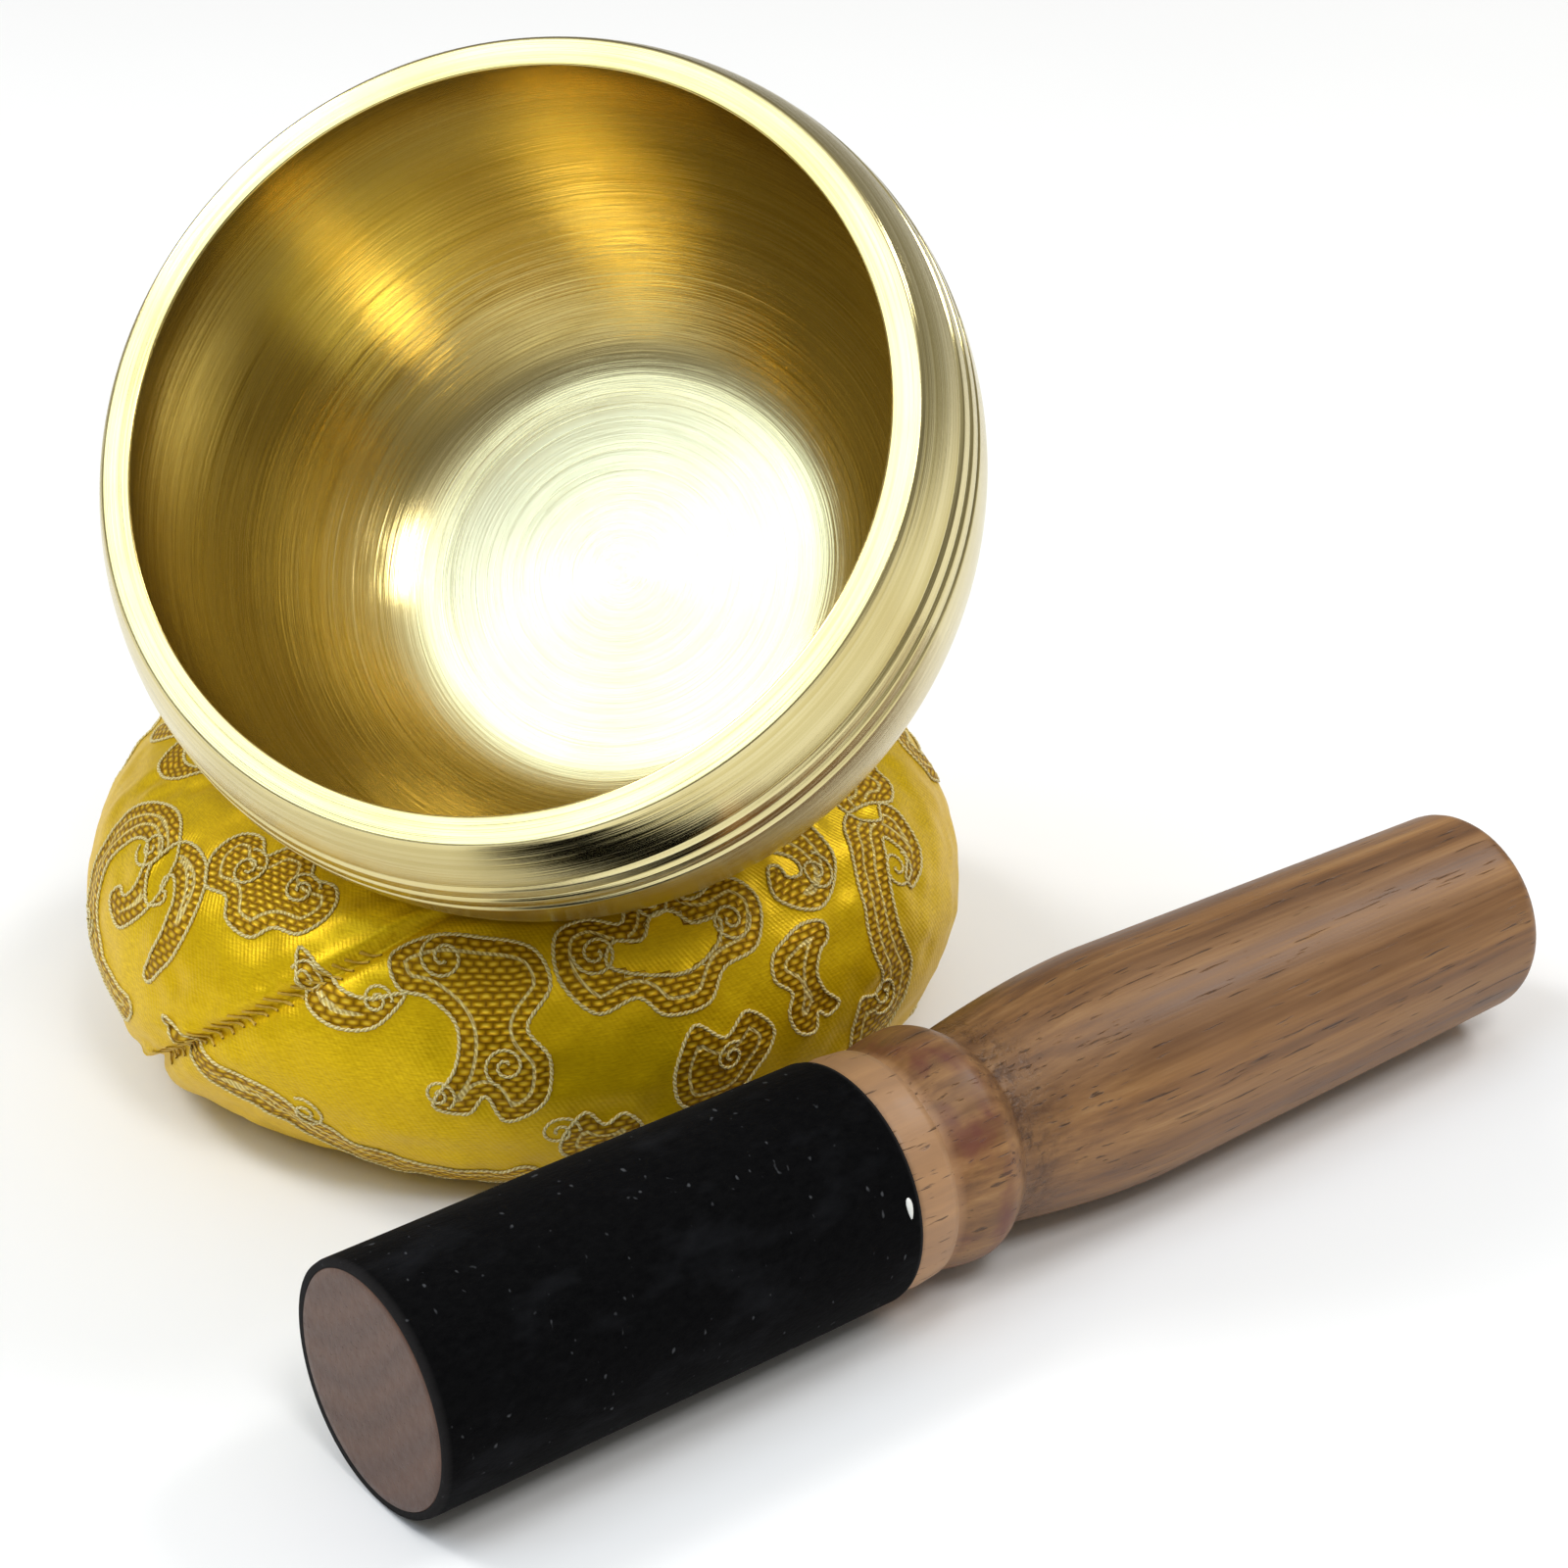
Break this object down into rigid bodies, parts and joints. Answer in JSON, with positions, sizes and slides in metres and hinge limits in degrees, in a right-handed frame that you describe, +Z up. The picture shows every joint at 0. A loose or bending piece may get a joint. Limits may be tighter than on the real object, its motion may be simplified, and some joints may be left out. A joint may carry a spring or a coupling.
{
  "type": "singing bowl",
  "caption": "Small turned brass singing bowl leaning in a stuffed brocade ring cushion, with a turned wooden striker whose end is wrapped in suede.",
  "frame": {"origin": "centre of the ring cushion, on the surface that the set stands on", "axes": "+Z is up, and the bowl's mouth leans towards -Y; the striker lies in front, its bare handle towards +X"},
  "size_m": [0.1447, 0.1341, 0.1015],
  "materials": {
    "brass": "turned and polished, fine lathe lines",
    "brocade": "satin ground with woven cloud motifs, stuffed with loose fibre",
    "thread": "twisted sewing thread",
    "wood": "turned, oiled, open grain",
    "suede": "napped suede, matte"
  },
  "bodies": {
    "cushion": {"cushion": "brocade", "cushion_joint_stitches": "thread", "cushion_ring_seam": "thread"},
    "bowl": {"bowl": "brass"},
    "mallet": {"mallet_stick": "wood", "mallet_wrap": "suede"}
  },
  "joints": [
    {"name": "bowl_lift", "type": "slide", "parent": "cushion", "child": "bowl", "axis": [0, 0, 1], "range_m": [0, 0.08]},
    {"name": "mallet_lift", "type": "slide", "parent": "cushion", "child": "mallet", "axis": [0.4344, -0.558, 0.7071], "range_m": [0, 0.08]}
  ]
}
